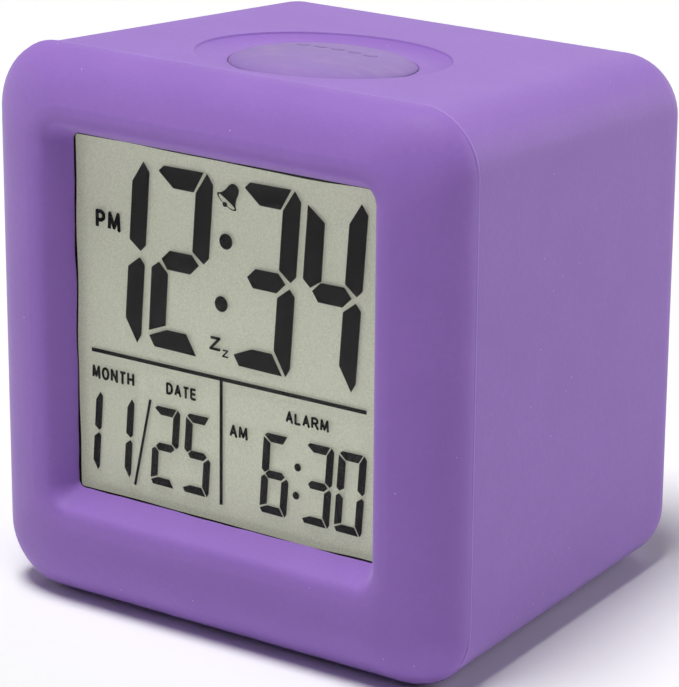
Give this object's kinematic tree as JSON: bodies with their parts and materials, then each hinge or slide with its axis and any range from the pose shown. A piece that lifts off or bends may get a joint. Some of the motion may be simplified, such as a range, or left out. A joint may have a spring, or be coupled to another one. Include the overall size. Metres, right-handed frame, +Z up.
{
  "type": "alarm clock",
  "caption": "Cube-shaped digital alarm clock in a soft silicone skin, with a recessed LCD window, a domed snooze button on top and a battery bay behind.",
  "frame": {"origin": "middle of the footprint, on the surface that the clock stands on", "axes": "+Z up; the display faces -Y and the battery door faces +Y; +X is to the right as seen from the front"},
  "size_m": [0.08, 0.0706, 0.083],
  "materials": {
    "silicone": "matte soft-touch silicone",
    "case_plastic": "fine-textured moulded plastic",
    "key_rubber": "matte silicone",
    "clear_window": "clear anti-glare plastic",
    "clear_acrylic": "clear acrylic",
    "display_glass": "satin display glass",
    "white_plastic": "white moulded plastic",
    "pink_elastomer": "layered conductive elastomer",
    "circuit_board": "green solder mask",
    "black_plastic": "black moulded plastic",
    "component_body": "ceramic and plastic component bodies",
    "nickel_steel": "nickel-plated steel",
    "screw_steel": "zinc-plated steel",
    "cell_jacket": "plain dark foil jacket",
    "red_insulation": "red wire insulation",
    "black_insulation": "black wire insulation",
    "grey_insulation": "grey wire insulation"
  },
  "bodies": {
    "case": {"silicone_sleeve": "silicone", "front_case": "case_plastic", "window_lens": "clear_window", "lcd_glass": "display_glass", "lcd_frame": "white_plastic", "light_guide": "clear_acrylic", "backlight_led": "white_plastic", "zebra_strip": "pink_elastomer", "main_board": "circuit_board", "chip_blob": "black_plastic", "quartz_crystal": "nickel_steel", "board_parts": "component_body", "board_screws": "screw_steel", "snooze_switch": "black_plastic", "snooze_board": "circuit_board", "snooze_board_screws": "screw_steel", "snooze_leads": "grey_insulation", "rear_cover": "case_plastic", "case_screws": "screw_steel", "battery_cell_1": "cell_jacket", "battery_cell_2": "cell_jacket", "battery_bridge": "nickel_steel", "battery_plus_contact": "nickel_steel", "battery_minus_contact": "nickel_steel", "battery_lead_red": "red_insulation", "battery_lead_black": "black_insulation", "key_board": "circuit_board", "key_board_screws": "screw_steel", "key_switches": "black_plastic", "slide_switch": "nickel_steel", "buzzer": "black_plastic", "ribbon_cable": "grey_insulation"},
    "snooze_button": {"snooze_dome": "silicone", "snooze_carrier": "case_plastic", "snooze_switch_stem": "white_plastic", "snooze_spring": "nickel_steel"},
    "mode_key": {"key_mode": "key_rubber", "mode_stem": "white_plastic"},
    "set_key": {"key_set": "key_rubber", "set_stem": "white_plastic"},
    "up_key": {"key_up": "key_rubber", "up_stem": "white_plastic"},
    "down_key": {"key_down": "key_rubber", "down_stem": "white_plastic"},
    "alarm_switch": {"alarm_slider": "key_rubber", "slide_switch_lever": "black_plastic"},
    "door": {"battery_door": "case_plastic"}
  },
  "joints": [
    {"name": "snooze_press", "type": "slide", "parent": "case", "child": "snooze_button", "axis": [0, -0.0714, -0.9975], "range_m": [0, 0.001], "stiffness_N_per_m": 400, "springref_m": -0.001, "deforming": ["snooze_spring"]},
    {"name": "mode_press", "type": "slide", "parent": "case", "child": "mode_key", "axis": [0, -1, 0], "range_m": [0, 0.0005], "stiffness_N_per_m": 800, "springref_m": -0.0005},
    {"name": "set_press", "type": "slide", "parent": "case", "child": "set_key", "axis": [0, -1, 0], "range_m": [0, 0.0005], "stiffness_N_per_m": 800, "springref_m": -0.0005},
    {"name": "up_press", "type": "slide", "parent": "case", "child": "up_key", "axis": [0, -1, 0], "range_m": [0, 0.0005], "stiffness_N_per_m": 800, "springref_m": -0.0005},
    {"name": "down_press", "type": "slide", "parent": "case", "child": "down_key", "axis": [0, -1, 0], "range_m": [0, 0.0005], "stiffness_N_per_m": 800, "springref_m": -0.0005},
    {"name": "alarm_slide", "type": "slide", "parent": "case", "child": "alarm_switch", "axis": [-1, 0, 0], "range_m": [0, 0.002]},
    {"name": "door_hinge", "type": "hinge", "parent": "case", "child": "door", "pos_m": [0, 0.0334, 0.0152], "axis": [-1, 0, 0], "range_deg": [0, 85]}
  ]
}
